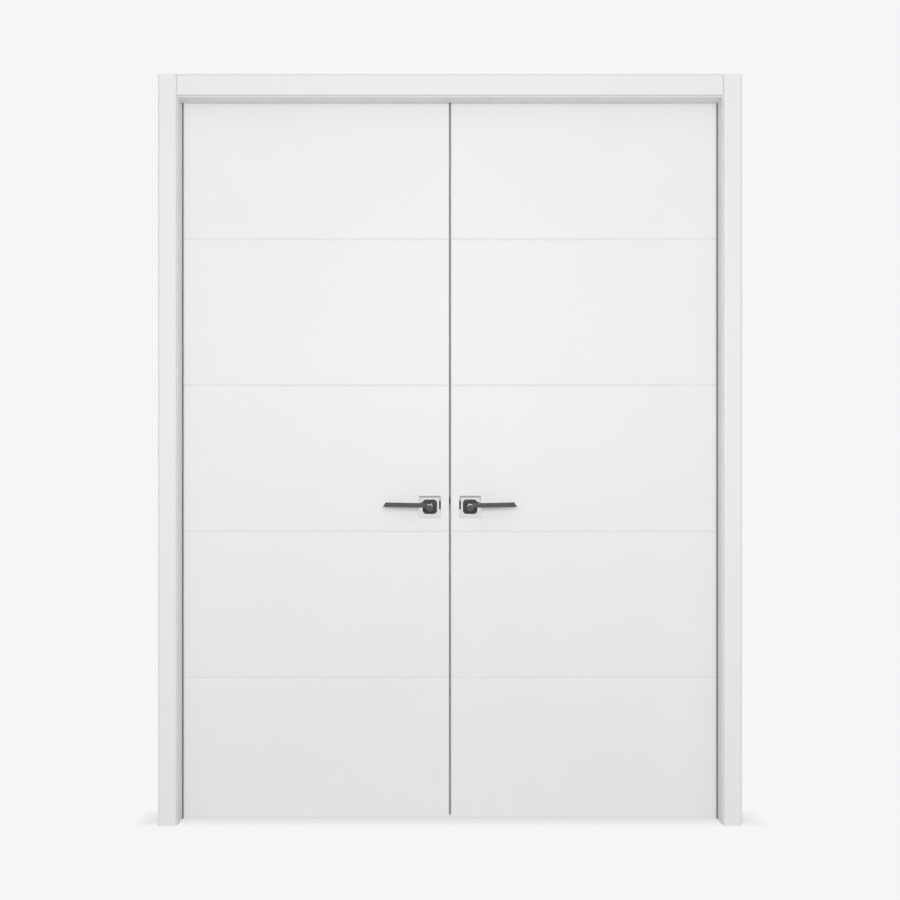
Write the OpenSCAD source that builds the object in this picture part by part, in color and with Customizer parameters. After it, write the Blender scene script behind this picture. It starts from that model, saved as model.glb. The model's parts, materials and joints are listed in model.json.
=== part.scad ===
// Double door with its frame: two flush leaves that meet in the middle.
// X runs to the right, Y away from the push side, Z up from the floor.
// The right half is drawn at +X, and each left piece is its mirror image.

/* [Leaves] */
// Width of one leaf
leaf_w = 765; // [600:1:915]
// Height of a leaf
leaf_h = 2032; // [1950:1:2134]
// Thickness of a leaf
leaf_t = 40; // [38:1:45]
// Radius of the eased long edges of a leaf
leaf_edge_r = 1.5; // [0.5:0.5:2.5]
// Slope of the meeting edges, in degrees
edge_bevel = 3; // [2:0.25:4]
// Number of level grooves on each face
groove_count = 4; // [2:1:5]
// Height between two grooves
groove_pitch = 414.5; // [300:0.5:450]
// Width of a groove at the face
groove_w = 6.5; // [3:0.5:10]
// Depth of a groove
groove_depth = 2; // [1:0.5:4]

/* [Gaps] */
// Gap between the leaves and the floor
floor_gap = 5; // [3:1:12]
// Gap between the leaves and the head jamb
head_gap = 3; // [2:0.5:5]
// Gap between a leaf and its jamb at the hinges
hinge_gap = 3; // [2:0.5:4]
// Gap between the two leaves
meeting_gap = 4; // [3.5:0.5:6]

/* [Frame] */
// Depth of the jambs, which is the thickness of the wall
jamb_depth = 116; // [100:1:180]
// Thickness of a jamb at its stop
jamb_t = 35; // [32:1:50]
// How far the stop stands in from the hinge face
stop_h = 11; // [11:0.5:16]
// Radius of the eased front edge of the stop
stop_edge_r = 2; // [1:0.5:4]
// Space between the stop and the leaf, which the seal fills
seal_space = 3; // [2.5:0.5:4]
// Radius of the fixing holes through the jambs
fixing_r = 2.75; // [2:0.25:4]
// Distance from the stop of the head down to the upper fixing holes
fixing_from_top = 278; // [200:1:400]
// Distance between the two rows of fixing holes
fixing_pitch_y = 30; // [20:1:40]
// Height of the lower fixing holes above the floor
fixing_low = 300; // [200:10:350]

/* [Casings] */
// Thickness of the casings
casing_t = 12; // [8:1:14]
// Width of a casing leg
leg_w = 51; // [45:1:90]
// Height of a head casing
head_casing_h = 59; // [45:1:100]
// Jamb left showing beside the front legs
leg_reveal = 2; // [1:0.5:12]
// Jamb left showing under the front head casing
head_reveal = 3; // [1:0.5:12]
// Jamb left showing round the back casings
back_reveal = 5.5; // [5:0.5:7]
// Radius of the eased face edges of a casing
casing_edge_r = 5; // [1:0.5:5]
// Width of the tongue that plugs into the jamb
tongue_w = 5; // [3:0.5:6]
// Length of the tongue
tongue_l = 8; // [6:0.5:8]
// Distance from a casing's inner edge to its tongue
tongue_inset = 6; // [4:0.5:7]

/* [Seals] */
// How far the side seals show past the stop
side_seal_show = 4; // [0:0.5:4]
// How far the head seal lies back behind the stop
head_seal_hide = 1; // [0:0.5:1.5]
// Width of a seal's root
seal_root_w = 2.5; // [2:0.5:3]
// Depth of a seal's root in its groove
seal_root_d = 5; // [4:0.5:8]
// Width of a seal's base
seal_base_l = 9.5; // [8:0.5:10]
// Thickness of a seal's base
seal_base_t = 1.2; // [0.8:0.1:1.4]
// Leaf's back face to the middle of the seal between the leaves
meeting_seal_inset = 6; // [5:0.5:7]
// Wall of a seal's hollow bulb
seal_wall = 0.9; // [0.6:0.1:1.2]

/* [Hinges] */
// Height of a hinge
hinge_h = 100; // [80:1:125]
// Width of a hinge plate from the leaf's back face
hinge_plate_w = 30; // [26:1:34]
// Thickness of a hinge plate
hinge_plate_t = 2.5; // [2:0.5:3]
// Radius of the plate's inner corners
hinge_corner_r = 6; // [2:1:10]
// Radius of the hinge knuckles
knuckle_r = 6; // [5:0.5:6.5]
// Radius of a hinge pin
hinge_pin_r = 3; // [2:0.25:3.5]
// How far the pin's axis lies behind the leaf
hinge_throw = 8; // [7.5:0.5:10]
// Leaf's top to the top of the upper hinge
hinge_from_top = 130; // [100:5:250]
// Leaf's bottom to the bottom of the lower hinge
hinge_from_bottom = 200; // [130:5:300]

/* [Handles] */
// Height of the spindles above the floor
handle_z = 885; // [850:5:1050]
// Distance from the meeting edge to the spindle
backset = 55; // [50:1:70]
// Side of a square rose
rose_w = 62; // [59:1:70]
// Height of a rose off the leaf
rose_h = 9; // [8:0.5:12]
// Width of the bevel round a rose
rose_bevel = 5; // [2:0.5:5.5]
// Height of that bevel
rose_bevel_h = 4; // [1:0.5:5]
// Wall of a rose
rose_wall = 1.5; // [1:0.5:2]
// Thickness of the plate under a rose
rose_plate_t = 3; // [2:0.5:4]
// Side of the collar
collar_w = 41; // [36:1:46]
// Radius of the collar's corners
collar_corner_r = 10; // [4:1:16]
// Height of the collar off the rose
collar_h = 3.5; // [2:0.5:6]
// Radius of the collar's spigot in the rose
spigot_r = 14.5; // [13.5:0.5:15]
// Radius of a lever's neck
neck_r = 11.5; // [9:0.5:12]
// Radius of the rounded end of the neck
neck_end_r = 4; // [1:0.5:6]
// Reach of a lever off the leaf
lever_reach = 58; // [50:1:65]
// Length of a lever from the spindle to its tip
lever_l = 131; // [110:1:150]
// Thickness of the blade at the neck
blade_root_t = 10; // [8:0.5:12]
// Thickness of the blade at its tip
blade_tip_t = 7; // [5:0.5:8]
// How far the blade's tip bows back to the leaf
blade_bow = 10; // [5:0.5:16]
// Height of the blade
blade_h = 13; // [10:0.5:14]
// Middle of the blade above the spindle, at the neck
blade_lift = 5; // [0:0.5:5]
// How much higher the blade's tip is than its root
blade_rise = 2; // [0:0.5:6]
// How far the tip is cut back at its upper corner
blade_slant = 7; // [0:0.5:12]
// Radius of the hole through the leaf for the spindle
spindle_hole_r = 10; // [9:0.5:12]
// Side of the square spindle
spindle_w = 8; // [6:0.5:8]
// Length of spindle in a lever
spindle_grip = 30; // [20:1:36]
// Distance of the rose bolts from the spindle
rose_bolt_reach = 19; // [18.5:0.1:19.5]
// Radius of a rose bolt
rose_bolt_r = 2; // [1.5:0.25:2.25]
// Radius of a rose bolt's head
rose_bolt_head_r = 3.5; // [3:0.25:3.75]
// Height of a rose bolt's head
rose_bolt_head_h = 2.2; // [1.5:0.1:2.4]

/* [Latch] */
// Thickness of the latch faceplate
face_t = 2.5; // [2:0.5:3]
// Width of the faceplate
face_w = 20; // [18:1:24]
// Height of the faceplate
face_h = 165; // [150:1:220]
// Radius of the faceplate's corners
face_corner_r = 4; // [1:0.5:8]
// Case behind the spindle
case_behind = 27.5; // [25:0.5:45]
// Thickness of the latch case
case_t = 14; // [13:0.5:16]
// Wall of the latch case
case_wall = 1.2; // [1:0.1:1.5]
// Case below the spindle
case_below = 28; // [20:1:35]
// Case above the spindle
case_above = 34; // [31:1:40]
// How far the latch bolt stands out of the leaf
bolt_throw = 12; // [9:0.5:12]
// Height of the latch bolt
bolt_h = 18; // [14:0.5:18]
// Middle of the latch bolt above the spindle
bolt_rise = 17; // [17:0.5:19]
// Length of the latch bolt's head inside the case
bolt_seat_l = 16; // [14:0.5:18]
// Blunt width at the latch bolt's tip
bolt_tip_w = 3; // [2:0.5:5]
// Height of the latch bolt's tail
tail_h = 5; // [4:0.5:6]
// Thickness of the tail
tail_t = 5; // [4:0.5:8]
// Length of the lug that the cam pushes
lug_l = 4; // [3:0.5:5]
// Radius of the follower's hub
follower_r = 8.5; // [8:0.25:9]
// Radius of the follower's journals
journal_r = 7.5; // [7:0.25:7.75]
// Radius that the cam's tip turns on
cam_r = 15.3; // [14:0.1:15.5]
// Width of the cam
cam_w = 3; // [2:0.5:4]
// Thickness of the cam
cam_t = 6; // [5:0.5:8]
// Distance from the spindle to the spring's stop
spring_stop_ahead = 13.5; // [12:0.5:14]
// Thickness of the spring's stop
spring_stop_t = 2; // [1.5:0.5:3]
// Radius of the bolt spring
spring_r = 3.6; // [3:0.1:4]
// Radius of the spring's wire
spring_wire_r = 0.45; // [0.3:0.05:0.6]
// Turns of the bolt spring
spring_turns = 6; // [4:1:8]
// Height of the strike plate
strike_h = 90; // [76:1:120]
// Thickness of the strike plate and the keeper
strike_t = 2; // [1.5:0.5:3]
// Space round the latch bolt in the strike
strike_room = 1.5; // [1:0.5:2]
// Depth of the pocket behind the strike
strike_depth = 14; // [13:1:20]

/* [Flush bolts] */
// Height of a flush bolt's plate
flush_h = 160; // [150:1:220]
// Width of the plate
flush_w = 18; // [17:1:22]
// Thickness of the plate
flush_t = 2.5; // [2:0.5:3]
// Radius of the plate's corners
flush_corner_r = 4; // [1:0.5:8]
// Plate's end to the end of the leaf
flush_inset = 30; // [20:1:60]
// Height of the housing behind the plate
housing_h = 100; // [90:1:110]
// Width of the housing
housing_w = 15; // [14:0.5:16]
// Wall of the housing
housing_wall = 1.5; // [1:0.5:2]
// Radius of the bolt's rod
rod_r = 4; // [3:0.25:4.5]
// Travel of the rod
rod_travel = 16; // [10:1:18]
// Length of the thumb piece
thumb_l = 22; // [16:1:26]
// Width of the thumb piece
thumb_w = 7; // [5:0.5:8]
// How far the thumb piece lies under the plate's face
thumb_sink = 0.5; // [0.3:0.1:1]
// How far the drawn-back rod lies inside the leaf's end
rod_sink = 0.5; // [0.3:0.1:2]
// Number of grip notches in the thumb piece
notch_count = 5; // [3:1:6]
// Width of a notch
notch_w = 1.6; // [1:0.2:2]
// Depth of a notch
notch_d = 0.8; // [0.4:0.1:1]
// Length of the keeper over the top bolt
keeper_l = 56; // [50:1:70]

/* [Screws] */
// Radius of a wood screw's shank
screw_r = 2; // [1.5:0.25:2.25]
// Radius of a wood screw's head
screw_head_r = 3.8; // [3:0.1:4]
// Height of the countersunk head
screw_head_h = 2; // [1.5:0.1:2]
// Length of a wood screw
screw_l = 16; // [12:1:20]
// Length of its point
screw_point_l = 4; // [2:0.5:6]
// Radius of a corner screw's shank
corner_screw_r = 2.5; // [2:0.25:3]
// Radius of a corner screw's head
corner_head_r = 4.8; // [4:0.1:5]
// Height of a corner screw's head
corner_head_h = 3; // [2:0.1:4]
// Length of a corner screw
corner_screw_l = 70; // [50:1:90]

/* [Hidden] */
// Clearances
seat_clear = 0.2;
run_clear = 0.15;
pin_clear = 0.05;
knuckle_clear = 0.3;
slide_clear = 0.3;
seal_clear = 0.3;
pocket_clear = 0.5;
rod_clear = 0.1;
cam_clear = 0.3;
// Cuts run past the faces they open by this much
overrun = 1;
arc_steps = 6;
round_fn = 64;
bow_fn = 720;
$fn = round_fn;

// Across the opening
edge_x = meeting_gap / 2;
edge_drop = leaf_t / 2 * tan(edge_bevel);
plate_x = edge_x + max(face_w, flush_w) / 2 * tan(edge_bevel);
leaf_out = edge_x + leaf_w;
rebate_x = leaf_out + hinge_gap;
stop_x = rebate_x - stop_h;
jamb_out = stop_x + jamb_t;
leg_in = stop_x + leg_reveal;
back_leg_in = rebate_x + back_reveal;

// Up the opening
leaf_low = floor_gap;
leaf_top = leaf_low + leaf_h;
leaf_mid_z = (leaf_low + leaf_top) / 2;
rebate_z = leaf_top + head_gap;
stop_z = rebate_z - stop_h;
jamb_top = stop_z + jamb_t;
head_low = stop_z + head_reveal;
head_top = head_low + head_casing_h;
back_head_low = rebate_z + back_reveal;
back_head_top = back_head_low + head_casing_h;

// Through the wall, with the middle of the whole depth at zero
whole_depth = casing_t + jamb_depth + lever_reach;
jamb_front = casing_t - whole_depth / 2;
jamb_back = jamb_front + jamb_depth;
leaf_front = jamb_back - leaf_t;
leaf_mid = jamb_back - leaf_t / 2;
shoulder = leaf_front - seal_space;

// Seals
seal_bulb_r = seal_space - seal_clear;
seal_root_at = seal_base_l - seal_root_w - seal_base_t;
meeting_seal_y = jamb_back - meeting_seal_inset;
meeting_bulb_r = 2 * edge_at(meeting_seal_y) - pocket_clear;

// Hinges
pin_x = leaf_out + hinge_gap / 2;
pin_y = jamb_back + hinge_throw;
hinge_levels = [
    leaf_top - hinge_from_top - hinge_h / 2,
    (leaf_top - hinge_from_top + leaf_low + hinge_from_bottom) / 2,
    leaf_low + hinge_from_bottom + hinge_h / 2
];
knuckle_count = 5;
knuckle_l = hinge_h / knuckle_count;
pin_head_r = knuckle_r - knuckle_clear;
pin_head_h = hinge_pin_r * 2 / 3;
// Screws on a hinge plate: share of its width from the back, share of its height from the middle
hinge_screw_shares = [[0.46, 0.37], [0.74, 0.14], [0.74, -0.14], [0.46, -0.37]];

// Handles
spindle_x = edge_x + backset;
rose_room = rose_w / 2 - rose_bevel - rose_wall;
rose_plate_w = 2 * (rose_room - seat_clear);
spigot_end = rose_plate_t + seat_clear;
lever_end = rose_plate_t + seat_clear;
blade_inner_bow = blade_bow - (blade_root_t - blade_tip_t);
spindle_fit = spindle_w + 2 * seat_clear;
rose_bolt_hole_r = rose_bolt_r + slide_clear;
neck_bore_r = neck_r + run_clear;

// Latch
case_x = plate_x + face_t;
case_end = spindle_x + case_behind;
case_low = handle_z - case_below;
case_high = handle_z + case_above;
case_front = leaf_mid - case_t / 2;
case_back = leaf_mid + case_t / 2;
bolt_z = handle_z + bolt_rise;
bolt_t = case_t - 2 * case_wall - 2 * slide_clear;
bolt_rear = case_x + bolt_seat_l;
tail_low = bolt_z + bolt_h / 2 - tail_h;
lug_x = spindle_x + cam_w / 2 + cam_clear;
lug_low = handle_z + (follower_r + cam_r) / 2 - cam_clear;
spring_stop_x = spindle_x - spring_stop_ahead;
spring_z = bolt_z - bolt_h / 2 + spring_r + spring_wire_r;
face_z = (case_low + case_high) / 2;
// Places of an edge plate's two screws, as a share of its height
edge_screw_share = 0.43;
strike_screw_share = 0.38;

// Flush bolts
flush_z = leaf_top - flush_inset - flush_h / 2;
housing_x = plate_x + flush_t;
rod_hole_r = rod_r + pocket_clear;
rod_x = plate_x + screw_l + 2 * pocket_clear + rod_hole_r;
housing_back = rod_x + housing_w / 2;
rod_top = leaf_top - rod_sink;
slot_l = thumb_l + rod_travel + 2 * slide_clear;
slot_low = flush_z - slot_l / 2;
keeper_socket_l = rod_travel + seat_clear;

// Corner screws
corner_screw_z = (rebate_z + jamb_top) / 2;
corner_screw_shares = [0.3, 0.78];
fixing_y = (jamb_front + shoulder) / 2;
fixing_levels = [fixing_low, stop_z - fixing_from_top];

sides = ["left", "right"];
levels = ["upper", "middle", "lower"];
faces = ["front", "back"];
ends = ["top", "bottom"];
hinge_nodes = [
    for (s = sides) for (l = levels) for (p = ["frame", "door"])
        str(s, "_", l, "_hinge_", p, "_plate")
];
handle_nodes = [
    for (s = sides) for (f = faces) for (p = ["lever", "rose", "collar"])
        str(s, "_", f, "_", p)
];

// Colours
paint = "#f2f1ef";
steel = "#b9babb";
chrome = "#d6d7d9";
graphite = "#5c5d60";
black = "#1e1e20";
rubber = "#55565a";

// Points along a round stretch about a centre
function arc(cx, cy, r, from, to) = [
    for (i = [0 : arc_steps])
        let (a = from + (to - from) * i / arc_steps) [cx + r * cos(a), cy + r * sin(a)]
];

// Outline of a rectangle with round corners
function round_rect(x0, y0, x1, y1, r) = concat(
    arc(x1 - r, y1 - r, r, 0, 90),
    arc(x0 + r, y1 - r, r, 90, 180),
    arc(x0 + r, y0 + r, r, 180, 270),
    arc(x1 - r, y0 + r, r, 270, 360)
);

// Outline of a plate about its middle
function plate_outline(cx, cy, w, h, r) =
    round_rect(cx - w / 2, cy - h / 2, cx + w / 2, cy + h / 2, r);

// Where the sloping meeting edge lies at a depth
function edge_at(y) = edge_x - (y - leaf_mid) * tan(edge_bevel);

// Radius of an arc that bows by a rise over a run
function bow_radius(run, rise) = (run * run + rise * rise) / (2 * rise);

// A block between two corners
module block(low, high) {
    translate(low) cube(high - low);
}

// An outline drawn in Y and Z, drawn out along X
module along_x(x0, x1) {
    translate([x0, 0, 0]) rotate([90, 0, 90]) linear_extrude(x1 - x0) children();
}

// An outline drawn in X and Z, drawn out along Y
module along_y(y0, y1) {
    translate([0, y1, 0]) rotate([90, 0, 0]) linear_extrude(y1 - y0) children();
}

// An outline drawn in X and Y, drawn out along Z
module along_z(z0, z1) {
    translate([0, 0, z0]) linear_extrude(z1 - z0) children();
}

// A round bar along X, Y or Z from a start point
module bar_x(from, l, r) {
    translate(from) rotate([0, 90, 0]) cylinder(h = l, r = r);
}
module bar_y(from, l, r) {
    translate(from) rotate([-90, 0, 0]) cylinder(h = l, r = r);
}
module bar_z(from, l, r) {
    translate(from) cylinder(h = l, r = r);
}

// The left side is the right side mirrored
module on_side(side) {
    if (side == "left") mirror([1, 0, 0]) children();
    else children();
}

// The front face of a leaf is its back face mirrored through the leaf
module on_face(face) {
    if (face == "front") translate([0, 2 * leaf_mid, 0]) mirror([0, 1, 0]) children();
    else children();
}

// The bottom end of a leaf is its top end mirrored through its middle
module on_end(end) {
    if (end == "bottom") translate([0, 0, 2 * leaf_mid_z]) mirror([0, 0, 1]) children();
    else children();
}

// A countersunk screw from its head's face down the +Z axis, with a cross recess
module screw(l, r, head_r, head_h, point_l) {
    recess = [head_r, head_r / 4, head_h];
    difference() {
        rotate_extrude() polygon([
            [0, 0], [head_r, 0], [r, head_h], [r, l - point_l], [0, l]
        ]);
        for (turn = [0, 90])
            rotate([0, 0, turn]) translate([-recess[0] / 2, -recess[1] / 2, -recess[2] / 2]) cube(recess);
    }
}

// The hole that such a screw sits in
module screw_hole(l, r, head_r, head_h) {
    rotate_extrude() polygon([
        [0, -overrun], [head_r + seat_clear, -overrun], [head_r + seat_clear, 0],
        [r + seat_clear, head_h + seat_clear], [r + seat_clear, l + seat_clear], [0, l + seat_clear]
    ]);
}

module wood_screw() {
    screw(screw_l, screw_r, screw_head_r, screw_head_h, screw_point_l);
}
module wood_screw_hole() {
    screw_hole(screw_l, screw_r, screw_head_r, screw_head_h);
}

// Screw places on the jamb's hinge face, pointing into the jamb
module at_frame_hinge_screws(z) {
    for (s = hinge_screw_shares)
        translate([rebate_x, jamb_back - s[0] * hinge_plate_w, z + s[1] * hinge_h])
            rotate([0, 90, 0]) children();
}

// Screw places on the leaf's hinge edge, pointing into the leaf
module at_door_hinge_screws(z) {
    for (s = hinge_screw_shares)
        translate([leaf_out, jamb_back - s[0] * hinge_plate_w, z + s[1] * hinge_h])
            rotate([0, -90, 0]) children();
}

// Screw places on a plate let into the meeting edge, pointing into the leaf
module at_edge_screws(z, reach) {
    for (way = [-1, 1])
        translate([plate_x, leaf_mid, z + way * reach]) rotate([0, 90, 0]) children();
}

// Screw places on the keeper, pointing up into the head jamb
module at_keeper_screws() {
    for (way = [-1, 1])
        translate([rod_x + way * keeper_l * strike_screw_share, leaf_mid, rebate_z]) children();
}

// Screw places on the outside of a side jamb, pointing into the head jamb
module at_corner_screws() {
    for (share = corner_screw_shares)
        translate([jamb_out, jamb_front + share * jamb_depth, corner_screw_z])
            rotate([0, -90, 0]) children();
}

// Section of a jamb: a board with a rebate, its stop on the push side. The stop's
// face is at across = 0 and grows outwards, so the same section serves legs and head.
module jamb_section(seal_at, groove_front, groove_back) {
    groove_w = tongue_w + 2 * seat_clear;
    groove_l = tongue_l + overrun;
    difference() {
        polygon(concat(
            arc(stop_edge_r, jamb_front + stop_edge_r, stop_edge_r, 180, 270),
            [[jamb_t, jamb_front], [jamb_t, jamb_back], [stop_h, jamb_back], [stop_h, shoulder], [0, shoulder]]
        ));
        translate([groove_front - seat_clear, jamb_front - overrun])
            square([groove_w, groove_l + overrun]);
        translate([groove_back - seat_clear, jamb_back - groove_l])
            square([groove_w, groove_l + overrun]);
        translate([seal_at + seal_root_at - seat_clear, shoulder - seal_root_d - seat_clear])
            square([seal_root_w + 2 * seat_clear, seal_root_d + seat_clear + overrun]);
    }
}

// Solid jamb section without grooves, for the corner beyond them
module plain_jamb_section() {
    polygon(concat(
        arc(stop_edge_r, jamb_front + stop_edge_r, stop_edge_r, 180, 270),
        [[jamb_t, jamb_front], [jamb_t, jamb_back], [stop_h, jamb_back], [stop_h, shoulder], [0, shoulder]]
    ));
}

// What the mitre leaves of a side jamb, seen from the front
module side_of_mitre() {
    along_y(jamb_front - overrun, jamb_back + overrun)
        polygon([[stop_x, 0], [jamb_out, 0], [jamb_out, jamb_top], [stop_x, stop_z]]);
}

module side_jamb(side) {
    color(paint) on_side(side) difference() {
        intersection() {
            union() {
                along_z(0, stop_z) translate([stop_x, 0])
                    jamb_section(-side_seal_show, leg_reveal + tongue_inset, stop_h + back_reveal + tongue_inset);
                along_z(stop_z, jamb_top) translate([stop_x, 0]) plain_jamb_section();
            }
            side_of_mitre();
        }
        for (z = hinge_levels) {
            frame_mortise(z);
            at_frame_hinge_screws(z) wood_screw_hole();
        }
        at_corner_screws() corner_screw_hole();
        for (way = [-1, 1]) for (z = fixing_levels)
            bar_x(
                [stop_x - overrun, fixing_y + way * fixing_pitch_y / 2, z],
                jamb_t + 2 * overrun, fixing_r
            );
    }
}

module corner_screw_hole() {
    screw_hole(corner_screw_l, corner_screw_r, corner_head_r, corner_head_h);
}

// The head is the same section turned to lie along X, mitred at both ends
module head_jamb() {
    color(paint) difference() {
        intersection() {
            union() {
                head_run(stop_x)
                    jamb_section(head_seal_hide, head_reveal + tongue_inset, stop_h + back_reveal + tongue_inset);
                difference() {
                    head_run(jamb_out) plain_jamb_section();
                    head_run(stop_x) translate([-overrun, jamb_front - overrun])
                        square([jamb_t + 2 * overrun, jamb_depth + 2 * overrun]);
                }
            }
            along_y(jamb_front - overrun, jamb_back + overrun) polygon([
                [-stop_x, stop_z], [stop_x, stop_z], [jamb_out, jamb_top], [-jamb_out, jamb_top]
            ]);
        }
        for (side = sides) on_side(side) at_corner_screws() corner_screw_hole();
        on_side("left") {
            block(
                [rod_x - keeper_l / 2 - seat_clear, leaf_mid - flush_w / 2 - seat_clear, rebate_z - overrun],
                [rod_x + keeper_l / 2 + seat_clear, leaf_mid + flush_w / 2 + seat_clear, rebate_z + strike_t]
            );
            bar_z([rod_x, leaf_mid, rebate_z], keeper_socket_l, rod_hole_r);
            at_keeper_screws() wood_screw_hole();
        }
    }
}

// A section whose first axis points up, drawn out along X on both sides of the middle
module head_run(half) {
    translate([half, 0, stop_z]) rotate([0, -90, 0]) linear_extrude(2 * half) children();
}

// Section of a casing: a flat board with eased face edges. Across grows outwards from
// the inner edge, and depth grows from the jamb's edge towards the room.
module casing_section(w) {
    polygon(concat(
        [[0, 0], [w, 0]],
        arc(w - casing_edge_r, casing_t - casing_edge_r, casing_edge_r, 0, 90),
        arc(casing_edge_r, casing_t - casing_edge_r, casing_edge_r, 90, 180)
    ));
}

module tongue_section() {
    translate([tongue_inset, -tongue_l]) square([tongue_w, tongue_l]);
}

// Turns a section's depth to face the front or the back
module facing(face) {
    if (face == "front") translate([0, jamb_front]) mirror([0, 1]) children();
    else translate([0, jamb_back]) children();
}

module leg_casing(side, face) {
    inner = face == "front" ? leg_in : back_leg_in;
    top = face == "front" ? head_top : back_head_top;
    color(paint) on_side(side) {
        along_z(0, top) translate([inner, 0]) facing(face) casing_section(leg_w);
        along_z(0, stop_z) translate([inner, 0]) facing(face) tongue_section();
    }
}

// The head's ends are eased too, so that its joints with the legs show as a V
module head_casing(face) {
    inner = face == "front" ? leg_in : back_leg_in;
    low = face == "front" ? head_low : back_head_low;
    color(paint) translate([0, 0, low - stop_z]) {
        intersection() {
            head_run(inner) facing(face) casing_section(head_casing_h);
            along_z(stop_z, stop_z + head_casing_h)
                translate([-inner, 0]) facing(face) casing_section(2 * inner);
        }
        head_run(stop_x) facing(face) tongue_section();
    }
}

// Section of a seal: a hollow bulb on a base, with a root at the base's outer side
module seal_section() {
    difference() {
        union() {
            intersection() {
                translate([seal_bulb_r, shoulder]) circle(seal_bulb_r);
                translate([0, shoulder]) square([seal_base_l, seal_bulb_r]);
            }
            translate([seal_bulb_r, shoulder]) square([seal_base_l - seal_bulb_r, seal_base_t]);
        }
        intersection() {
            translate([seal_bulb_r, shoulder]) circle(seal_bulb_r - seal_wall);
            translate([0, shoulder + seal_wall / 2]) square([seal_base_l, seal_bulb_r]);
        }
    }
    translate([seal_root_at, shoulder - seal_root_d]) square([seal_root_w, seal_root_d + seal_wall / 2]);
}

module side_seal(side) {
    color(rubber) on_side(side)
        along_z(0, stop_z - seal_clear) translate([stop_x - side_seal_show, 0]) seal_section();
}

module head_seal() {
    color(rubber) translate([0, 0, head_seal_hide]) head_run(stop_x - seal_clear) seal_section();
}

// On the sloping meeting edge, at the middle of the seal between the leaves
module at_meeting_seal() {
    translate([edge_at(meeting_seal_y), meeting_seal_y]) rotate(edge_bevel) children();
}

// Section of that seal: half a hollow bulb that bridges the gap, and a root in the leaf
module meeting_seal_section() {
    half = [meeting_bulb_r, 2 * meeting_bulb_r];
    difference() {
        intersection() {
            circle(meeting_bulb_r);
            translate([-meeting_bulb_r, -meeting_bulb_r]) square(half);
        }
        intersection() {
            circle(meeting_bulb_r - seal_wall);
            translate([-meeting_bulb_r - seal_wall / 2, -meeting_bulb_r]) square(half);
        }
    }
    translate([-seal_wall / 2, -seal_root_w / 2]) square([seal_root_d + seal_wall / 2, seal_root_w]);
}

module meeting_seal() {
    color(rubber) on_side("left") along_z(leaf_low, leaf_top) at_meeting_seal() meeting_seal_section();
}

// The groove for its root
module meeting_seal_groove() {
    along_z(leaf_low - overrun, leaf_top + overrun) at_meeting_seal()
        translate([-overrun, -seal_root_w / 2 - seat_clear])
            square([overrun + seal_root_d + seat_clear, seal_root_w + 2 * seat_clear]);
}

module corner_screws() {
    color(steel) for (side = sides) on_side(side) at_corner_screws()
        screw(corner_screw_l, corner_screw_r, corner_head_r, corner_head_h, screw_point_l);
}

// Outline of a hinge plate in Y and Z, with its inner corners rounded
module hinge_plate_outline(z, grow) {
    low = z - hinge_h / 2 - grow;
    high = z + hinge_h / 2 + grow;
    inner = jamb_back - hinge_plate_w - grow;
    r = hinge_corner_r + grow;
    polygon(concat(
        [[jamb_back, low], [jamb_back, high]],
        arc(inner + r, high - r, r, 90, 180),
        arc(inner + r, low + r, r, 180, 270)
    ));
}

module frame_mortise(z) {
    along_x(rebate_x - overrun, rebate_x + hinge_plate_t) hinge_plate_outline(z, seat_clear);
    block(
        [rebate_x - overrun, jamb_back - overrun, z - hinge_h / 2 - seat_clear],
        [rebate_x + hinge_plate_t, jamb_back + overrun, z + hinge_h / 2 + seat_clear]
    );
}

module door_mortise(z) {
    along_x(leaf_out - hinge_plate_t, leaf_out + overrun) hinge_plate_outline(z, seat_clear);
    block(
        [leaf_out - hinge_plate_t, jamb_back - overrun, z - hinge_h / 2 - seat_clear],
        [leaf_out + overrun, jamb_back + overrun, z + hinge_h / 2 + seat_clear]
    );
}

// One half of a hinge: the plate, a web to each of its knuckles, and the knuckles.
// The frame half has the odd knuckles and the door half the even ones.
module hinge_half(z, inner, outer, first) {
    difference() {
        union() {
            along_x(inner, outer) hinge_plate_outline(z, 0);
            for (i = [first : 2 : knuckle_count - 1]) {
                low = z - hinge_h / 2 + i * knuckle_l + (i > 0 ? knuckle_clear / 2 : 0);
                high = z - hinge_h / 2 + (i + 1) * knuckle_l - (i < knuckle_count - 1 ? knuckle_clear / 2 : 0);
                block([inner, jamb_back - overrun, low], [outer, pin_y, high]);
                bar_z([pin_x, pin_y, low], high - low, knuckle_r);
            }
        }
        bar_z([pin_x, pin_y, z - hinge_h], 2 * hinge_h, hinge_pin_r + pin_clear);
    }
}

module hinge_frame_plate(side, z) {
    color(steel) on_side(side) difference() {
        hinge_half(z, rebate_x, rebate_x + hinge_plate_t, 0);
        at_frame_hinge_screws(z) wood_screw_hole();
    }
}

module hinge_door_plate(side, z) {
    color(steel) on_side(side) difference() {
        hinge_half(z, leaf_out - hinge_plate_t, leaf_out, 1);
        at_door_hinge_screws(z) wood_screw_hole();
    }
}

// Pins with a flat button at the top and bottom
module hinge_pins() {
    color(steel) for (side = sides) on_side(side) for (z = hinge_levels)
        translate([pin_x, pin_y, z]) rotate_extrude() polygon([
            [0, -hinge_h / 2 - pin_head_h], [hinge_pin_r, -hinge_h / 2 - pin_head_h],
            [pin_head_r, -hinge_h / 2 - pin_head_h / 3], [pin_head_r, -hinge_h / 2],
            [hinge_pin_r, -hinge_h / 2], [hinge_pin_r, hinge_h / 2],
            [pin_head_r, hinge_h / 2], [pin_head_r, hinge_h / 2 + pin_head_h / 3],
            [hinge_pin_r, hinge_h / 2 + pin_head_h], [0, hinge_h / 2 + pin_head_h]
        ]);
}

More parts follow.
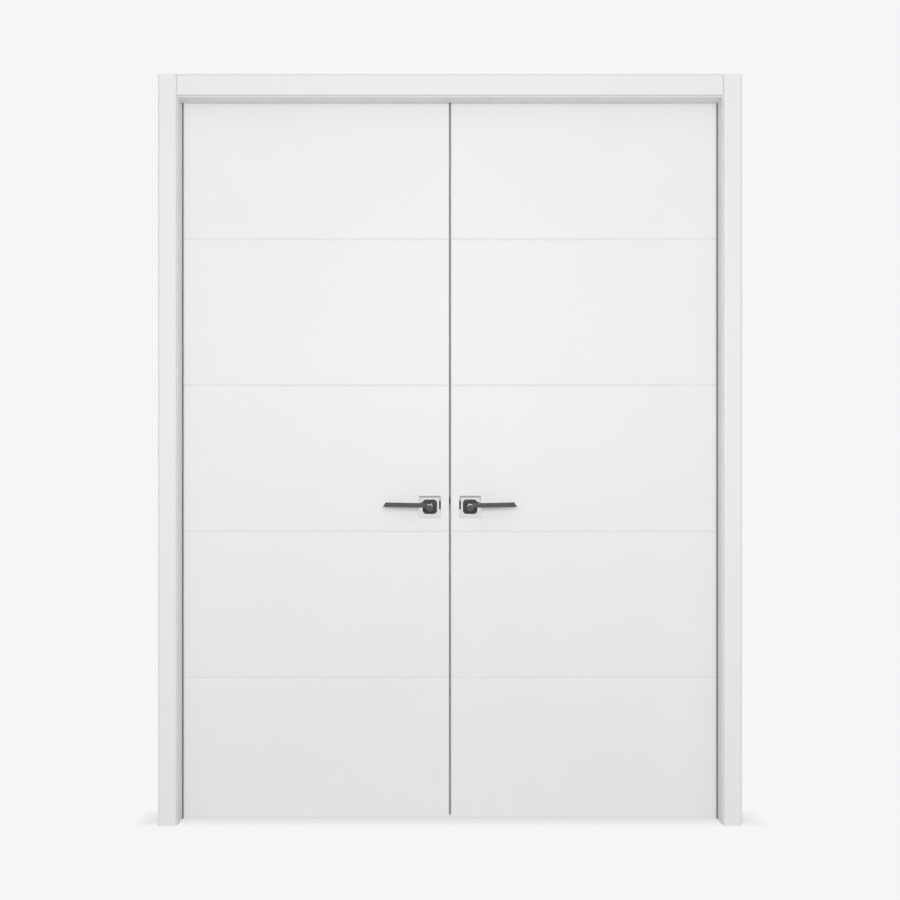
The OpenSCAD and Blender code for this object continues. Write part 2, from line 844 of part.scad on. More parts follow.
module frame_screws() {
    color(steel) {
        for (side = sides) on_side(side) for (z = hinge_levels) at_frame_hinge_screws(z) wood_screw();
        on_side("left") at_keeper_screws() wood_screw();
    }
}

// Plate over the top bolt's socket, let into the head jamb
module bolt_keeper() {
    color(steel) on_side("left") difference() {
        along_z(rebate_z, rebate_z + strike_t)
            polygon(plate_outline(rod_x, leaf_mid, keeper_l, flush_w, flush_corner_r));
        bar_z([rod_x, leaf_mid, rebate_z - overrun], strike_t + 2 * overrun, rod_hole_r);
        at_keeper_screws() wood_screw_hole();
    }
}

// A V cut across both faces of a leaf
module face_groove(z) {
    flare = groove_w / 2 * (1 + overrun / groove_depth);
    for (face = faces) on_face(face)
        along_x(edge_x - edge_drop - overrun, leaf_out + overrun) polygon([
            [jamb_back - groove_depth, z], [jamb_back + overrun, z - flare], [jamb_back + overrun, z + flare]
        ]);
}

// Section of a leaf: its long edges are eased, and the meeting edge slopes so that its
// front corner clears the other leaf
module leaf_section() {
    r = leaf_edge_r;
    slant = r / cos(edge_bevel);
    polygon(concat(
        arc(leaf_out - r, jamb_back - r, r, 0, 90),
        arc(edge_at(jamb_back - r) + slant, jamb_back - r, r, 90, 180 + edge_bevel),
        arc(edge_at(leaf_front + r) + slant, leaf_front + r, r, 180 + edge_bevel, 270),
        arc(leaf_out - r, leaf_front + r, r, 270, 360)
    ));
}

// What both leaves share: the board, its grooves, the hinge mortises and the bolt holes
module leaf_board() {
    difference() {
        along_z(leaf_low, leaf_top) leaf_section();
        for (i = [0 : groove_count - 1])
            face_groove(leaf_mid_z + (i - (groove_count - 1) / 2) * groove_pitch);
        for (z = hinge_levels) {
            door_mortise(z);
            at_door_hinge_screws(z) wood_screw_hole();
        }
        for (way = [-1, 1])
            bar_y(
                [spindle_x + way * rose_bolt_reach, leaf_front - overrun, handle_z],
                leaf_t + 2 * overrun, rose_bolt_hole_r
            );
    }
}

// A shallow recess for a plate let into the meeting edge
module edge_recess(z, w, h, t, r) {
    along_x(edge_x - overrun, plate_x + t)
        polygon(plate_outline(leaf_mid, z, w + 2 * seat_clear, h + 2 * seat_clear, r + seat_clear));
}

module left_leaf_slab() {
    hole_h = bolt_h + 2 * strike_room;
    hole_t = bolt_t + 2 * strike_room;
    color(paint) on_side("left") difference() {
        leaf_board();
        meeting_seal_groove();
        edge_recess(bolt_z, face_w, strike_h, strike_t, face_corner_r);
        at_edge_screws(bolt_z, strike_h * strike_screw_share) wood_screw_hole();
        block(
            [edge_x, leaf_mid - hole_t / 2, bolt_z - hole_h / 2],
            [edge_x + strike_depth, leaf_mid + hole_t / 2, bolt_z + hole_h / 2]
        );
        for (end = ends) on_end(end) {
            edge_recess(flush_z, flush_w, flush_h, flush_t, flush_corner_r);
            at_edge_screws(flush_z, flush_h * edge_screw_share) wood_screw_hole();
            block(
                [edge_x, leaf_mid - housing_w / 2 - seat_clear, flush_z - housing_h / 2 - seat_clear],
                [
                    housing_back + seat_clear, leaf_mid + housing_w / 2 + seat_clear,
                    flush_z + housing_h / 2 + seat_clear
                ]
            );
            bar_z([rod_x, leaf_mid, flush_z], leaf_top - flush_z + overrun, rod_hole_r);
        }
    }
}

module right_leaf_slab() {
    color(paint) difference() {
        leaf_board();
        bar_y([spindle_x, leaf_front - overrun, handle_z], leaf_t + 2 * overrun, spindle_hole_r);
        edge_recess(face_z, face_w, face_h, face_t, face_corner_r);
        at_edge_screws(face_z, face_h * edge_screw_share) wood_screw_hole();
        block(
            [edge_x, case_front - seat_clear, case_low - seat_clear],
            [case_end + seat_clear, case_back + seat_clear, case_high + seat_clear]
        );
    }
}

module left_leaf_screws() {
    color(steel) on_side("left") {
        for (z = hinge_levels) at_door_hinge_screws(z) wood_screw();
        at_edge_screws(bolt_z, strike_h * strike_screw_share) wood_screw();
        for (end = ends) on_end(end)
            at_edge_screws(flush_z, flush_h * edge_screw_share) wood_screw();
    }
}

module right_leaf_screws() {
    color(steel) {
        for (z = hinge_levels) at_door_hinge_screws(z) wood_screw();
        at_edge_screws(face_z, face_h * edge_screw_share) wood_screw();
    }
}

// Handle pieces are drawn about the spindle on the back face, Y pointing off the leaf
module at_handle(side, face) {
    on_side(side) on_face(face) translate([spindle_x, jamb_back, handle_z]) children();
}

// A lever: a round neck with the blade growing out of its upper half
module lever(side, face) {
    outer_r = bow_radius(lever_l, blade_bow);
    inner_r = bow_radius(lever_l, blade_inner_bow);
    face_y = lever_reach - neck_end_r / 4;
    low = blade_lift - blade_h / 2;
    high = blade_lift + blade_h / 2;
    color(graphite) at_handle(side, face) difference() {
        union() {
            rotate([-90, 0, 0]) rotate_extrude() polygon(concat(
                [[0, lever_end], [neck_r, lever_end]],
                arc(neck_r - neck_end_r, lever_reach - neck_end_r, neck_end_r, 0, 90),
                [[0, lever_reach]]
            ));
            intersection() {
                along_z(low - overrun, high + blade_rise + overrun) intersection() {
                    difference() {
                        translate([0, face_y - outer_r]) circle(outer_r, $fn = bow_fn);
                        translate([0, face_y - blade_root_t - inner_r]) circle(inner_r, $fn = bow_fn);
                    }
                    square([lever_l, lever_reach]);
                }
                along_y(0, lever_reach) polygon([
                    [0, low], [lever_l, low + blade_rise],
                    [lever_l - blade_slant, high + blade_rise], [0, high]
                ]);
            }
        }
        translate([-spindle_fit / 2, 0, -spindle_fit / 2])
            cube([spindle_fit, spindle_grip + seat_clear, spindle_fit]);
    }
}

// Half section of a rose: a wall with a bevelled front edge
module rose_section() {
    half = rose_w / 2;
    polygon([
        [-half, 0], [half, 0], [half, rose_h - rose_bevel_h], [half - rose_bevel, rose_h],
        [-half + rose_bevel, rose_h], [-half, rose_h - rose_bevel_h]
    ]);
}

// A square cover, bevelled all round and hollow behind
module rose(side, face) {
    half = rose_w / 2;
    color(chrome) at_handle(side, face) difference() {
        intersection_for (turn = [0, 90]) rotate([0, turn, 0]) along_z(-half, half) rose_section();
        block([-rose_room, -overrun, -rose_room], [rose_room, rose_h - rose_wall, rose_room]);
        bar_y([0, 0, 0], rose_h + overrun, spigot_r + seat_clear);
    }
}

// A dark bearing collar between the rose and the lever's neck
module collar(side, face) {
    color(black) at_handle(side, face) difference() {
        union() {
            along_y(rose_h, rose_h + collar_h)
                polygon(plate_outline(0, 0, collar_w, collar_w, collar_corner_r));
            bar_y([0, spigot_end, 0], rose_h - spigot_end + collar_h / 2, spigot_r);
        }
        bar_y([0, 0, 0], rose_h + collar_h + overrun, neck_bore_r);
    }
}

// Plates under the two roses of a leaf. Those of the standing leaf carry a fixed square
// stub for the lever, and those of the active leaf let the spindle through.
module rose_plates(side) {
    half = rose_plate_w / 2;
    color(steel) for (face = faces) at_handle(side, face) difference() {
        union() {
            block([-half, 0, -half], [half, rose_plate_t, half]);
            if (side == "left") block(
                [-spindle_w / 2, 0, -spindle_w / 2], [spindle_w / 2, spindle_grip, spindle_w / 2]
            );
        }
        if (side == "right") bar_y([0, -overrun, 0], rose_plate_t + 2 * overrun, journal_r);
        for (way = [-1, 1])
            bar_y([way * rose_bolt_reach, -overrun, 0], rose_plate_t + 2 * overrun, rose_bolt_r + seat_clear);
    }
}

// Bolts through the leaf that hold the two rose plates together
module rose_bolts(side) {
    length = leaf_t + 2 * rose_plate_t;
    color(steel) on_side(side) for (way = [-1, 1])
        translate([spindle_x + way * rose_bolt_reach, jamb_back + rose_plate_t, handle_z]) {
            bar_y([0, -length, 0], length, rose_bolt_r);
            bar_y([0, 0, 0], rose_bolt_head_h, rose_bolt_head_r);
        }
}

module spindle() {
    color(steel) block(
        [spindle_x - spindle_w / 2, leaf_front - spindle_grip, handle_z - spindle_w / 2],
        [spindle_x + spindle_w / 2, jamb_back + spindle_grip, handle_z + spindle_w / 2]
    );
}

// Plate in the left leaf's edge that the latch bolt shoots into
module strike_plate() {
    hole_h = bolt_h + 2 * strike_room;
    hole_t = bolt_t + 2 * strike_room;
    color(steel) on_side("left") difference() {
        along_x(plate_x, plate_x + strike_t)
            polygon(plate_outline(leaf_mid, bolt_z, face_w, strike_h, face_corner_r));
        block(
            [edge_x - overrun, leaf_mid - hole_t / 2, bolt_z - hole_h / 2],
            [plate_x + strike_t + overrun, leaf_mid + hole_t / 2, bolt_z + hole_h / 2]
        );
        at_edge_screws(bolt_z, strike_h * strike_screw_share) wood_screw_hole();
    }
}

// Plates in the leaf's edge, each with the housing that its bolt slides in
module flush_bolt_plates() {
    for (end = ends) flush_plate(end);
}
module flush_plate(end) {
    half = housing_w / 2;
    room = half - housing_wall;
    slot_half = thumb_w / 2 + slide_clear;
    color(steel) on_side("left") on_end(end) difference() {
        union() {
            along_x(plate_x, housing_x)
                polygon(plate_outline(leaf_mid, flush_z, flush_w, flush_h, flush_corner_r));
            block(
                [housing_x, leaf_mid - half, flush_z - housing_h / 2],
                [housing_back, leaf_mid + half, flush_z + housing_h / 2]
            );
        }
        block(
            [housing_x + housing_wall, leaf_mid - room, flush_z - housing_h / 2 + housing_wall],
            [housing_back - housing_wall, leaf_mid + room, flush_z + housing_h / 2 - housing_wall]
        );
        block(
            [edge_x - overrun, leaf_mid - slot_half, slot_low],
            [housing_x + housing_wall + overrun, leaf_mid + slot_half, slot_low + slot_l]
        );
        bar_z([rod_x, leaf_mid, flush_z], housing_h, rod_r + rod_clear);
        at_edge_screws(flush_z, flush_h * edge_screw_share) wood_screw_hole();
    }
}

// The sliding rod and its notched thumb piece, drawn back into the leaf
module flush_rod(end) {
    thumb_low = slot_low + slide_clear;
    rod_low = flush_z - housing_h / 2 + housing_wall + slide_clear;
    notch_pitch = thumb_l / (notch_count + 1);
    color(steel) on_side("left") on_end(end) difference() {
        union() {
            bar_z([rod_x, leaf_mid, rod_low], rod_top - rod_low, rod_r);
            block(
                [plate_x + thumb_sink, leaf_mid - thumb_w / 2, thumb_low],
                [rod_x, leaf_mid + thumb_w / 2, thumb_low + thumb_l]
            );
        }
        for (i = [1 : notch_count])
            block(
                [edge_x, leaf_mid - thumb_w, thumb_low + i * notch_pitch - notch_w / 2],
                [plate_x + thumb_sink + notch_d, leaf_mid + thumb_w, thumb_low + i * notch_pitch + notch_w / 2]
            );
    }
}

// Openings through both faces of the case for the follower and the rose bolts
module case_holes() {
    bar_y([spindle_x, case_front - overrun, handle_z], case_t + 2 * overrun, journal_r + rod_clear);
    for (way = [-1, 1])
        bar_y(
            [spindle_x + way * rose_bolt_reach, case_front - overrun, handle_z],
            case_t + 2 * overrun, rose_bolt_hole_r
        );
}

// A tray of sheet metal with a slot for the bolt and a stop for its spring
module latch_case() {
    slot_h = bolt_h / 2 + slide_clear;
    color(steel) difference() {
        union() {
            difference() {
                block([case_x, case_front, case_low], [case_end, case_back - case_wall, case_high]);
                block(
                    [case_x + case_wall, case_front + case_wall, case_low + case_wall],
                    [case_end - case_wall, case_back + overrun, case_high - case_wall]
                );
                block(
                    [case_x - overrun, case_front + case_wall, bolt_z - slot_h],
                    [case_x + case_wall + overrun, case_back + overrun, bolt_z + slot_h]
                );
            }
            block(
                [spring_stop_x, case_front, spring_z - spring_r - spring_wire_r],
                [spring_stop_x + spring_stop_t, case_back - case_wall, spring_z + spring_r]
            );
        }
        case_holes();
    }
}

module latch_case_cover() {
    color(steel) difference() {
        block([case_x, case_back - case_wall, case_low], [case_end, case_back, case_high]);
        case_holes();
    }
}

module latch_faceplate() {
    slot_h = bolt_h / 2 + slide_clear;
    slot_t = bolt_t / 2 + slide_clear;
    color(steel) difference() {
        along_x(plate_x, case_x) polygon(plate_outline(leaf_mid, face_z, face_w, face_h, face_corner_r));
        block(
            [edge_x - overrun, leaf_mid - slot_t, bolt_z - slot_h],
            [case_x + overrun, leaf_mid + slot_t, bolt_z + slot_h]
        );
        at_edge_screws(face_z, face_h * edge_screw_share) wood_screw_hole();
    }
}

// The bolt's bevel faces the way the leaf closes; its tail carries a lug for the cam
module latch_bolt() {
    front = leaf_mid - bolt_t / 2;
    back = leaf_mid + bolt_t / 2;
    tip = edge_x - bolt_throw;
    color(steel) {
        along_z(bolt_z - bolt_h / 2, bolt_z + bolt_h / 2) polygon([
            [bolt_rear, front], [edge_x, front], [tip, back - bolt_tip_w], [tip, back], [bolt_rear, back]
        ]);
        block(
            [bolt_rear - bolt_seat_l / 2, leaf_mid - tail_t / 2, tail_low],
            [lug_x + lug_l, leaf_mid + tail_t / 2, tail_low + tail_h]
        );
        block(
            [lug_x, leaf_mid - tail_t / 2, lug_low],
            [lug_x + lug_l, leaf_mid + tail_t / 2, tail_low + tail_h / 2]
        );
    }
}

// A coil between the bolt's head and the stop in the case
module latch_spring() {
    sides_round = 6;
    steps_per_turn = 12;
    rings = spring_turns * steps_per_turn;
    start = bolt_rear + seat_clear + spring_wire_r;
    length = spring_stop_x - bolt_rear - 2 * (seat_clear + spring_wire_r);
    coil_r = spring_r - spring_wire_r;
    points = [
        for (i = [0 : rings]) for (j = [0 : sides_round - 1])
            let (a = 360 * i / steps_per_turn, b = 360 * j / sides_round)
            let (r = coil_r + spring_wire_r * cos(b))
            [start + length * i / rings + spring_wire_r * sin(b), leaf_mid + r * cos(a), spring_z + r * sin(a)]
    ];
    walls = [
        for (i = [0 : rings - 1]) for (j = [0 : sides_round - 1])
            let (k = (j + 1) % sides_round, here = i * sides_round, next = here + sides_round)
            [here + j, here + k, next + k, next + j]
    ];
    first = [for (j = [sides_round - 1 : -1 : 0]) j];
    last = [for (j = [0 : sides_round - 1]) rings * sides_round + j];
    color(steel) polyhedron(points, concat([first, last], walls), convexity = spring_turns);
}

// The hub that the spindle turns, with a cam that pulls the bolt's lug
module latch_follower() {
    hub_t = bolt_t;
    color(steel) difference() {
        union() {
            bar_y([spindle_x, case_front, handle_z], case_t, journal_r);
            bar_y([spindle_x, leaf_mid - hub_t / 2, handle_z], hub_t, follower_r);
            block(
                [spindle_x - cam_w / 2, leaf_mid - cam_t / 2, handle_z],
                [spindle_x + cam_w / 2, leaf_mid + cam_t / 2, handle_z + cam_r]
            );
        }
        block(
            [spindle_x - spindle_fit / 2, case_front - overrun, handle_z - spindle_fit / 2],
            [spindle_x + spindle_fit / 2, case_back + overrun, handle_z + spindle_fit / 2]
        );
    }
}

for (side = sides) {
    side_jamb(side);
    side_seal(side);
    rose_plates(side);
    rose_bolts(side);
    for (i = [0 : len(levels) - 1]) {
        hinge = str(side, "_", levels[i], "_hinge_");
        hinge_frame_plate(side, hinge_levels[i]);
        hinge_door_plate(side, hinge_levels[i]);
    }
    for (face = faces) {
        handle = str(side, "_", face, "_");
        leg_casing(side, face);
        lever(side, face);
        rose(side, face);
        collar(side, face);
    }
}
for (face = faces)
    head_casing(face);
for (end = ends)
    flush_rod(end);
head_jamb();
head_seal();
corner_screws();
hinge_pins();
frame_screws();
bolt_keeper();
left_leaf_slab();
right_leaf_slab();
left_leaf_screws();
right_leaf_screws();
spindle();
strike_plate();
meeting_seal();
flush_bolt_plates();
latch_case();
latch_case_cover();
latch_faceplate();
latch_bolt();
latch_spring();
latch_follower();
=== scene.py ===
# %% [markdown]
# # A white double door in its frame
#
# Two flush leaves hang in a rebated frame with flat casings. Every solid comes from the packed
# model and keeps its place, so this lesson is about finishes, edges, light and camera. Only the
# spring in the latch is drawn anew, because it has to shorten.
# All lengths are in metres, and `MM` turns a size on a drawing into metres.

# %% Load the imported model
import json
import math

import bpy
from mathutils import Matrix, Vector


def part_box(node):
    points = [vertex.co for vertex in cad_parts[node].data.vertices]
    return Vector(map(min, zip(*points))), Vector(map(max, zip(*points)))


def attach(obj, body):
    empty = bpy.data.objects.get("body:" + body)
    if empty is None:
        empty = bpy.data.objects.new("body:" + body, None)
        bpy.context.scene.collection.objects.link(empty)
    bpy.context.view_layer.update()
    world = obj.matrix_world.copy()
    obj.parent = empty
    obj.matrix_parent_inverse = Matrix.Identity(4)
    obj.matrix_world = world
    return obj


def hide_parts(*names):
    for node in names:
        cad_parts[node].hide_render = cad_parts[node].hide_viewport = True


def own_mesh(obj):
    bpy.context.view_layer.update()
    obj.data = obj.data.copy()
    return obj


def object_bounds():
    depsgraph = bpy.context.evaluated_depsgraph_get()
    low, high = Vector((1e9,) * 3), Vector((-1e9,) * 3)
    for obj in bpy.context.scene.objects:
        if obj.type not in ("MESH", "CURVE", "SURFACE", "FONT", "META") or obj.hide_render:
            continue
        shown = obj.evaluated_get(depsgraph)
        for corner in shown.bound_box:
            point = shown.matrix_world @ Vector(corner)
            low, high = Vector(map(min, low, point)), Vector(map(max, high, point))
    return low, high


MM = 0.001
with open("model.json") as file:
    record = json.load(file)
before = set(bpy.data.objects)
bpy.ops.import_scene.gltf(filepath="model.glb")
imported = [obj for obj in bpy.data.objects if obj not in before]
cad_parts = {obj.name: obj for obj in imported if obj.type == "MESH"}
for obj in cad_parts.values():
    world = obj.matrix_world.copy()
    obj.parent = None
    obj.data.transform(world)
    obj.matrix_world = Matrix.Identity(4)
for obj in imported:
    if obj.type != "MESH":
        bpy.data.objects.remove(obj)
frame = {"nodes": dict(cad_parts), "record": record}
nodes = frame["nodes"]
cad_low, cad_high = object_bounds()
slot_of = {part["node"]: part["material_slot"] for part in frame["record"]["subparts"]}
print(len(nodes), "pieces,", [round(side, 3) for side in cad_high - cad_low], "m overall")

# %% [markdown]
# ## Helpers
#
# Colours are given as sRGB hex values, while a shader works with linear light, so one
# function turns one into the other. A node tree is long to write by hand. A second function adds
# a node, sets its values and links its inputs in one call, whatever kind of node it is. Two short
# ones start an empty material, and turn the size of a pattern into the scale of its texture.

# %% Colour and node helpers
def linear(hex_colour):
    """sRGB hex to the linear RGBA that a shader socket takes."""
    shares = [int(hex_colour[i:i + 2], 16) / 255 for i in (1, 3, 5)]
    return [s / 12.92 if s <= 0.04045 else ((s + 0.055) / 1.055) ** 2.4 for s in shares] + [1.0]


def add(tree, kind, settings=None, **inputs):
    """Adds a node. Settings are its own properties; inputs are socket values or links."""
    made = tree.nodes.new(kind)
    for name, value in (settings or {}).items():
        setattr(made, name, value)
    for name, value in inputs.items():
        index = int(name[1:]) if name[0] == "_" else name.replace("_", " ")
        socket = made.inputs[index]
        if isinstance(value, bpy.types.NodeSocket):
            tree.links.new(value, socket)
        else:
            socket.default_value = value
    return made


def new_tree(name):
    """An empty material and its node tree."""
    material = bpy.data.materials.new(name)
    material.use_nodes = True
    material.node_tree.nodes.clear()
    return material, material.node_tree


def per_metre(size_mm):
    """Texture scale at which one cell of a pattern is this many millimetres wide."""
    return 1 / (size_mm * MM)


print("white is", [round(part, 3) for part in linear("#ffffff")])

# %% [markdown]
# ## Sprayed white lacquer
#
# The leaves, jambs and casings are MDF boards, primed, sanded and sprayed with a satin white
# lacquer. Spraying leaves orange peel: ripples a few millimetres apart that break up reflections.
# Two noises make it, a fine one for the peel and a wide one for the slow waves that sanding
# leaves in a board. The real peel is about 2 mm apart, and it is drawn at 5 mm so that it shows.

# %% White lacquer
def sprayed_lacquer(name, colour, shade, roughness):
    material, tree = new_tree(name)
    place = add(tree, "ShaderNodeTexCoord").outputs["Object"]
    cloud = add(tree, "ShaderNodeTexNoise", Vector=place, Scale=per_metre(240), Detail=3.0)
    tint = add(
        tree, "ShaderNodeMix", {"data_type": "RGBA"},
        _0=cloud.outputs["Fac"], _6=linear(colour), _7=linear(shade),
    )
    peel = add(tree, "ShaderNodeTexNoise", Vector=place, Scale=per_metre(5), Detail=2.0)
    wave = add(tree, "ShaderNodeTexNoise", Vector=place, Scale=per_metre(90), Detail=1.0)
    slow = add(tree, "ShaderNodeBump", Strength=0.2, Distance=0.6 * MM, Height=wave.outputs["Fac"])
    bump = add(
        tree, "ShaderNodeBump", Strength=0.12, Distance=0.1 * MM,
        Height=peel.outputs["Fac"], Normal=slow.outputs["Normal"],
    )
    gloss = add(
        tree, "ShaderNodeMapRange", Value=peel.outputs["Fac"],
        To_Min=roughness - 0.04, To_Max=roughness + 0.04,
    )
    surface = add(
        tree, "ShaderNodeBsdfPrincipled", Base_Color=tint.outputs[2], IOR=1.5,
        Roughness=gloss.outputs["Result"], Normal=bump.outputs["Normal"],
    )
    add(tree, "ShaderNodeOutputMaterial", Surface=surface.outputs[0])
    return material


white_lacquer = sprayed_lacquer("sprayed_white_lacquer", "#f3f3f2", "#f0f0f0", 0.42)
print("made", white_lacquer.name)

# %% [markdown]
# ## Chrome and black nickel
#
# The square roses are cast zinc, polished and chrome plated. The levers have a darker plating,
# black nickel, with the same polish. Both are mirrors with a trace of haze and of wiping marks,
# so one recipe serves both: a metal whose roughness follows a fine streaked noise.

# %% Plated metals
def polished_plate(name, colour, roughness, streak_mm):
    material, tree = new_tree(name)
    place = add(tree, "ShaderNodeTexCoord").outputs["Object"]
    stretched = add(tree, "ShaderNodeMapping", Vector=place, Scale=(1, 1, 6))
    wipe = add(
        tree, "ShaderNodeTexNoise", Vector=stretched.outputs[0], Scale=per_metre(streak_mm), Detail=4.0,
    )
    haze = add(
        tree, "ShaderNodeMapRange", Value=wipe.outputs["Fac"],
        To_Min=roughness * 0.8, To_Max=roughness * 1.2,
    )
    bump = add(tree, "ShaderNodeBump", Strength=0.05, Distance=0.05 * MM, Height=wipe.outputs["Fac"])
    surface = add(
        tree, "ShaderNodeBsdfPrincipled", Base_Color=linear(colour), Metallic=1.0,
        Roughness=haze.outputs["Result"], Normal=bump.outputs["Normal"],
    )
    add(tree, "ShaderNodeOutputMaterial", Surface=surface.outputs[0])
    return material


chrome = polished_plate("polished_chrome_plate", "#e3e4e6", 0.05, 9)
black_nickel = polished_plate("polished_black_nickel_plate", "#606063", 0.07, 7)
print("made", chrome.name, "and", black_nickel.name)

# %% [markdown]
# ## Satin stainless steel and zinc plate
#
# Hinges, edge plates and flush bolts are stainless steel, brushed along their length, which
# shows as fine upright lines. The brush lines are about 0.1 mm apart, and they are drawn at
# 0.6 mm so that they show. Screws, bolts and the latch case are zinc plated, duller and a
# little blue, with a crystalline mottle.

# %% Steel finishes
def brushed_steel(name, colour, roughness, line_mm):
    material, tree = new_tree(name)
    place = add(tree, "ShaderNodeTexCoord").outputs["Object"]
    stretched = add(tree, "ShaderNodeMapping", Vector=place, Scale=(1, 1, 0.02))
    lines = add(
        tree, "ShaderNodeTexNoise", Vector=stretched.outputs[0], Scale=per_metre(line_mm), Detail=3.0,
    )
    polish = add(
        tree, "ShaderNodeMapRange", Value=lines.outputs["Fac"],
        To_Min=roughness - 0.08, To_Max=roughness + 0.08,
    )
    bump = add(tree, "ShaderNodeBump", Strength=0.15, Distance=0.02 * MM, Height=lines.outputs["Fac"])
    surface = add(
        tree, "ShaderNodeBsdfPrincipled", Base_Color=linear(colour), Metallic=1.0,
        Roughness=polish.outputs["Result"], Normal=bump.outputs["Normal"],
    )
    add(tree, "ShaderNodeOutputMaterial", Surface=surface.outputs[0])
    return material


def zinc_plate(name, colour, shade, crystal_mm):
    material, tree = new_tree(name)
    place = add(tree, "ShaderNodeTexCoord").outputs["Object"]
    crystals = add(tree, "ShaderNodeTexVoronoi", Vector=place, Scale=per_metre(crystal_mm))
    tint = add(
        tree, "ShaderNodeMix", {"data_type": "RGBA"},
        _0=crystals.outputs["Distance"], _6=linear(colour), _7=linear(shade),
    )
    surface = add(
        tree, "ShaderNodeBsdfPrincipled", Base_Color=tint.outputs[2], Metallic=1.0, Roughness=0.38,
    )
    add(tree, "ShaderNodeOutputMaterial", Surface=surface.outputs[0])
    return material


steel = brushed_steel("brushed_stainless_steel", "#c4c5c6", 0.32, 0.6)
zinc = zinc_plate("zinc_plated_steel", "#bcc0c4", "#a2a6ab", 1.5)
print("made", steel.name, "and", zinc.name)

# %% [markdown]
# ## Nylon and rubber
#
# The collars that the levers turn in are moulded black nylon, with a faint eroded grain from the
# mould. The seals are extruded EPDM rubber, matt, with faint lines along the way it was drawn out
# of the die: dark grey in the stops, and pale grey between the leaves, where it should not show.

# %% Moulded nylon and extruded rubber
def dull_polymer(name, colour, roughness, grain_mm, stretch, ior):
    material, tree = new_tree(name)
    place = add(tree, "ShaderNodeTexCoord").outputs["Object"]
    stretched = add(tree, "ShaderNodeMapping", Vector=place, Scale=stretch)
    grain = add(
        tree, "ShaderNodeTexNoise", Vector=stretched.outputs[0], Scale=per_metre(grain_mm), Detail=2.0,
    )
    bump = add(tree, "ShaderNodeBump", Strength=0.2, Distance=0.05 * MM, Height=grain.outputs["Fac"])
    dull = add(
        tree, "ShaderNodeMapRange", Value=grain.outputs["Fac"],
        To_Min=roughness - 0.06, To_Max=roughness + 0.06,
    )
    surface = add(
        tree, "ShaderNodeBsdfPrincipled", Base_Color=linear(colour), IOR=ior,
        Roughness=dull.outputs["Result"], Normal=bump.outputs["Normal"],
    )
    add(tree, "ShaderNodeOutputMaterial", Surface=surface.outputs[0])
    return material


nylon = dull_polymer("moulded_black_nylon", "#101011", 0.5, 0.7, (1, 1, 1), 1.53)
rubber = dull_polymer("extruded_dark_grey_rubber", "#77787b", 0.75, 0.8, (1, 1, 0.02), 1.52)
pale_rubber = dull_polymer("extruded_pale_grey_rubber", "#efefed", 0.75, 0.8, (1, 1, 0.02), 1.52)
print("made", nylon.name, "and", rubber.name, "and", pale_rubber.name)

# %% [markdown]
# ## Dressing the pieces
#
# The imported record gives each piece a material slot. The steel slot holds two finishes, so the
# fasteners and the hidden lock parts are picked out by name.

# %% Assign the finishes
finish_of_slot = {
    "white_lacquer": white_lacquer,
    "seal_rubber": rubber,
    "meeting_rubber": pale_rubber,
    "lever_metal": black_nickel,
    "rose_chrome": chrome,
    "collar_nylon": nylon,
    "hardware_steel": steel,
}
zinc_words = ("screws", "rose_bolts", "rose_plates", "latch_case", "spindle", "follower")
for name, piece in nodes.items():
    finish = finish_of_slot[slot_of[name]]
    if any(word in name for word in zinc_words):
        finish = zinc
    piece.data.materials.clear()
    piece.data.materials.append(finish)
print("dressed", len(nodes), "pieces in", len(finish_of_slot) + 1, "finishes")

# %% [markdown]
# ## Eased edges
#
# Boards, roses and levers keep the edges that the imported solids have. The collars are moulded,
# and a mould leaves a small radius on every edge. A Bevel modifier rounds them without touching
# the mesh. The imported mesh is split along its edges, so a Weld modifier joins it first.

# %% Bevels
COLLAR_EDGE = 0.6 * MM
JOIN_WITHIN = 0.001 * MM
SHARP_FROM = math.radians(30)

collars = [piece for name, piece in nodes.items() if name.endswith("_collar")]
for piece in collars:
    weld = piece.modifiers.new("join_split_edges", "WELD")
    weld.merge_threshold = JOIN_WITHIN
    bevel = piece.modifiers.new("eased_edges", "BEVEL")
    bevel.width = COLLAR_EDGE
    bevel.segments = 3
    bevel.limit_method = "ANGLE"
    bevel.angle_limit = SHARP_FROM
    bevel.harden_normals = True
print("eased the edges of", len(collars), "collars")

# %% [markdown]
# ## The bolt spring
#
# The spring behind the latch bolt shortens when a lever is pressed, which a rigid piece can't do.
# So it is drawn once more as a smooth coil of wire in the same box. It takes the place of the
# packed one.

# %% Bolt spring
SPRING_TURNS = 6
SPRING_WIRE = 0.45 * MM
STEPS_PER_TURN = 24

spring_low, spring_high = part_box("latch_spring")
middle = (spring_low + spring_high) / 2
coil_radius = (spring_high.z - spring_low.z) / 2 - SPRING_WIRE
coil_start = spring_low.x + SPRING_WIRE
coil_length = spring_high.x - spring_low.x - 2 * SPRING_WIRE

wire = bpy.data.curves.new("coil", "CURVE")
wire.dimensions = "3D"
wire.bevel_depth = SPRING_WIRE
wire.bevel_resolution = 3
wire.use_fill_caps = True
steps = SPRING_TURNS * STEPS_PER_TURN
path = wire.splines.new("POLY")
path.points.add(steps)
for i, point in enumerate(path.points):
    turn = 2 * math.pi * i / STEPS_PER_TURN
    along = coil_start + coil_length * i / steps
    across = (coil_radius * math.cos(turn), coil_radius * math.sin(turn))
    point.co = (along, middle.y + across[0], middle.z + across[1], 1)
drawn = bpy.data.objects.new("coil", wire)
bpy.context.scene.collection.objects.link(drawn)
graph = bpy.context.evaluated_depsgraph_get()
coil_mesh = bpy.data.meshes.new_from_object(drawn.evaluated_get(graph))
bpy.data.objects.remove(drawn)
coil = bpy.data.objects.new("bolt_spring_coil", coil_mesh)
bpy.context.scene.collection.objects.link(coil)
coil_mesh.materials.clear()
